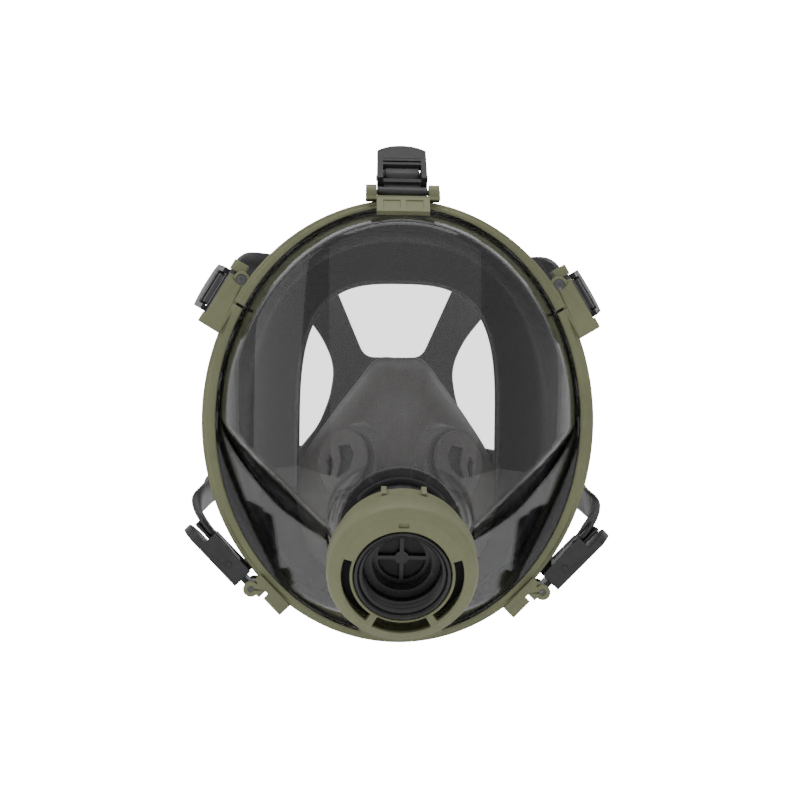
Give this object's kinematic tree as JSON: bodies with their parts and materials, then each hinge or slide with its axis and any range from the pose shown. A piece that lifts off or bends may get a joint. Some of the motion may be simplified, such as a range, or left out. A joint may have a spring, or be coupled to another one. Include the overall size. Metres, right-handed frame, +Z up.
{
  "type": "full face respirator",
  "caption": "Full face mask with a clear wide visor, rim, rubber face seal, inner mask, threaded filter connector and rubber head harness on roller buckles.",
  "frame": {"origin": "centre of the oval rim, in the plane of its top and bottom, where the face comes in", "axes": "+X to the viewer's right of the front, +Y towards the wearer and the back of the head, +Z up"},
  "size_m": [0.2326, 0.2599, 0.26],
  "materials": {
    "clear_lens": "clear gloss",
    "olive_plastic": "fine matte",
    "black_rubber": "satin",
    "grey_rubber": "satin",
    "charcoal_plastic": "satin",
    "black_plastic": "semi gloss",
    "valve_rubber": "satin",
    "dark_steel": "blackened"
  },
  "bodies": {
    "mask": {"visor": "clear_lens", "rim_upper": "olive_plastic", "rim_lower": "olive_plastic", "rim_screws": "dark_steel", "top_clip": "olive_plastic", "temple_lug_left": "olive_plastic", "temple_lug_right": "olive_plastic", "cheek_lug_left": "olive_plastic", "cheek_lug_right": "olive_plastic", "hinge_pins": "dark_steel", "face_seal": "black_rubber", "inner_mask": "grey_rubber", "valve_cage_left": "charcoal_plastic", "valve_cage_right": "charcoal_plastic", "connector_cover": "olive_plastic", "rear_housing": "olive_plastic", "connector_neck": "black_plastic", "thread_insert": "black_plastic", "filter_gasket": "black_rubber", "inhale_seat": "black_plastic", "harness_plate": "black_rubber", "strap_top": "black_rubber", "strap_temple_left": "black_rubber", "strap_temple_right": "black_rubber", "strap_cheek_left": "black_rubber", "strap_cheek_right": "black_rubber"},
    "buckle_top": {"buckle_top": "charcoal_plastic", "strap_end_top": "black_rubber"},
    "buckle_temple_left": {"buckle_temple_left": "charcoal_plastic", "strap_end_temple_left": "black_rubber"},
    "buckle_temple_right": {"buckle_temple_right": "charcoal_plastic", "strap_end_temple_right": "black_rubber"},
    "buckle_cheek_left": {"buckle_cheek_left": "charcoal_plastic", "strap_end_cheek_left": "black_rubber"},
    "buckle_cheek_right": {"buckle_cheek_right": "charcoal_plastic", "strap_end_cheek_right": "black_rubber"},
    "roller_top": {"roller_top": "charcoal_plastic"},
    "roller_temple_left": {"roller_temple_left": "charcoal_plastic"},
    "roller_temple_right": {"roller_temple_right": "charcoal_plastic"},
    "roller_cheek_left": {"roller_cheek_left": "charcoal_plastic"},
    "roller_cheek_right": {"roller_cheek_right": "charcoal_plastic"},
    "inner_disc_left": {"inner_disc_left": "valve_rubber"},
    "inner_disc_right": {"inner_disc_right": "valve_rubber"},
    "inhale_disc": {"inhale_disc": "valve_rubber"},
    "exhale_disc": {"exhale_disc": "valve_rubber"}
  },
  "joints": [
    {"name": "buckle_top_hinge", "type": "hinge", "parent": "mask", "child": "buckle_top", "pos_m": [0, 0.008, 0.118], "axis": [1, 0, 0], "range_deg": [-15, 75]},
    {"name": "buckle_temple_left_hinge", "type": "hinge", "parent": "mask", "child": "buckle_temple_left", "pos_m": [-0.09327, 0.0301, 0.06562], "axis": [0.5094, 0, 0.8605], "range_deg": [-10, 75]},
    {"name": "buckle_temple_right_hinge", "type": "hinge", "parent": "mask", "child": "buckle_temple_right", "pos_m": [0.09327, 0.0301, 0.06562], "axis": [0.5094, 0, -0.8605], "range_deg": [-10, 75]},
    {"name": "buckle_cheek_left_hinge", "type": "hinge", "parent": "mask", "child": "buckle_cheek_left", "pos_m": [-0.07525, 0.02295, -0.08754], "axis": [0, -1, 0], "range_deg": [-5, 80]},
    {"name": "buckle_cheek_right_hinge", "type": "hinge", "parent": "mask", "child": "buckle_cheek_right", "pos_m": [0.07525, 0.02295, -0.08754], "axis": [0, 1, 0], "range_deg": [-5, 80]},
    {"name": "roller_top_spin", "type": "hinge", "parent": "buckle_top", "child": "roller_top", "pos_m": [0, 0.02242, 0.12701], "axis": [1, 0, 0], "continuous": true},
    {"name": "roller_temple_left_spin", "type": "hinge", "parent": "buckle_temple_left", "child": "roller_temple_left", "pos_m": [-0.09631, 0.04673, 0.06742], "axis": [0.5094, 0, 0.8605], "continuous": true},
    {"name": "roller_temple_right_spin", "type": "hinge", "parent": "buckle_temple_right", "child": "roller_temple_right", "pos_m": [0.09631, 0.04673, 0.06742], "axis": [0.5094, 0, -0.8605], "continuous": true},
    {"name": "roller_cheek_left_spin", "type": "hinge", "parent": "buckle_cheek_left", "child": "roller_cheek_left", "pos_m": [-0.08714, 0.02295, -0.07538], "axis": [0, -1, 0], "continuous": true},
    {"name": "roller_cheek_right_spin", "type": "hinge", "parent": "buckle_cheek_right", "child": "roller_cheek_right", "pos_m": [0.08714, 0.02295, -0.07538], "axis": [0, 1, 0], "continuous": true},
    {"name": "inner_disc_left_lift", "type": "slide", "parent": "mask", "child": "inner_disc_left", "axis": [0.6097, 0.7803, -0.1392], "range_m": [0, 0.0015], "stiffness_N_per_m": 30},
    {"name": "inner_disc_right_lift", "type": "slide", "parent": "mask", "child": "inner_disc_right", "axis": [-0.6097, 0.7803, -0.1392], "range_m": [0, 0.0015], "stiffness_N_per_m": 30},
    {"name": "inhale_disc_lift", "type": "slide", "parent": "mask", "child": "inhale_disc", "axis": [0, 0.9205, 0.3907], "range_m": [0, 0.002], "stiffness_N_per_m": 30},
    {"name": "exhale_disc_lift", "type": "slide", "parent": "mask", "child": "exhale_disc", "axis": [0, -0.9205, -0.3907], "range_m": [0, 0.0015], "stiffness_N_per_m": 60}
  ]
}
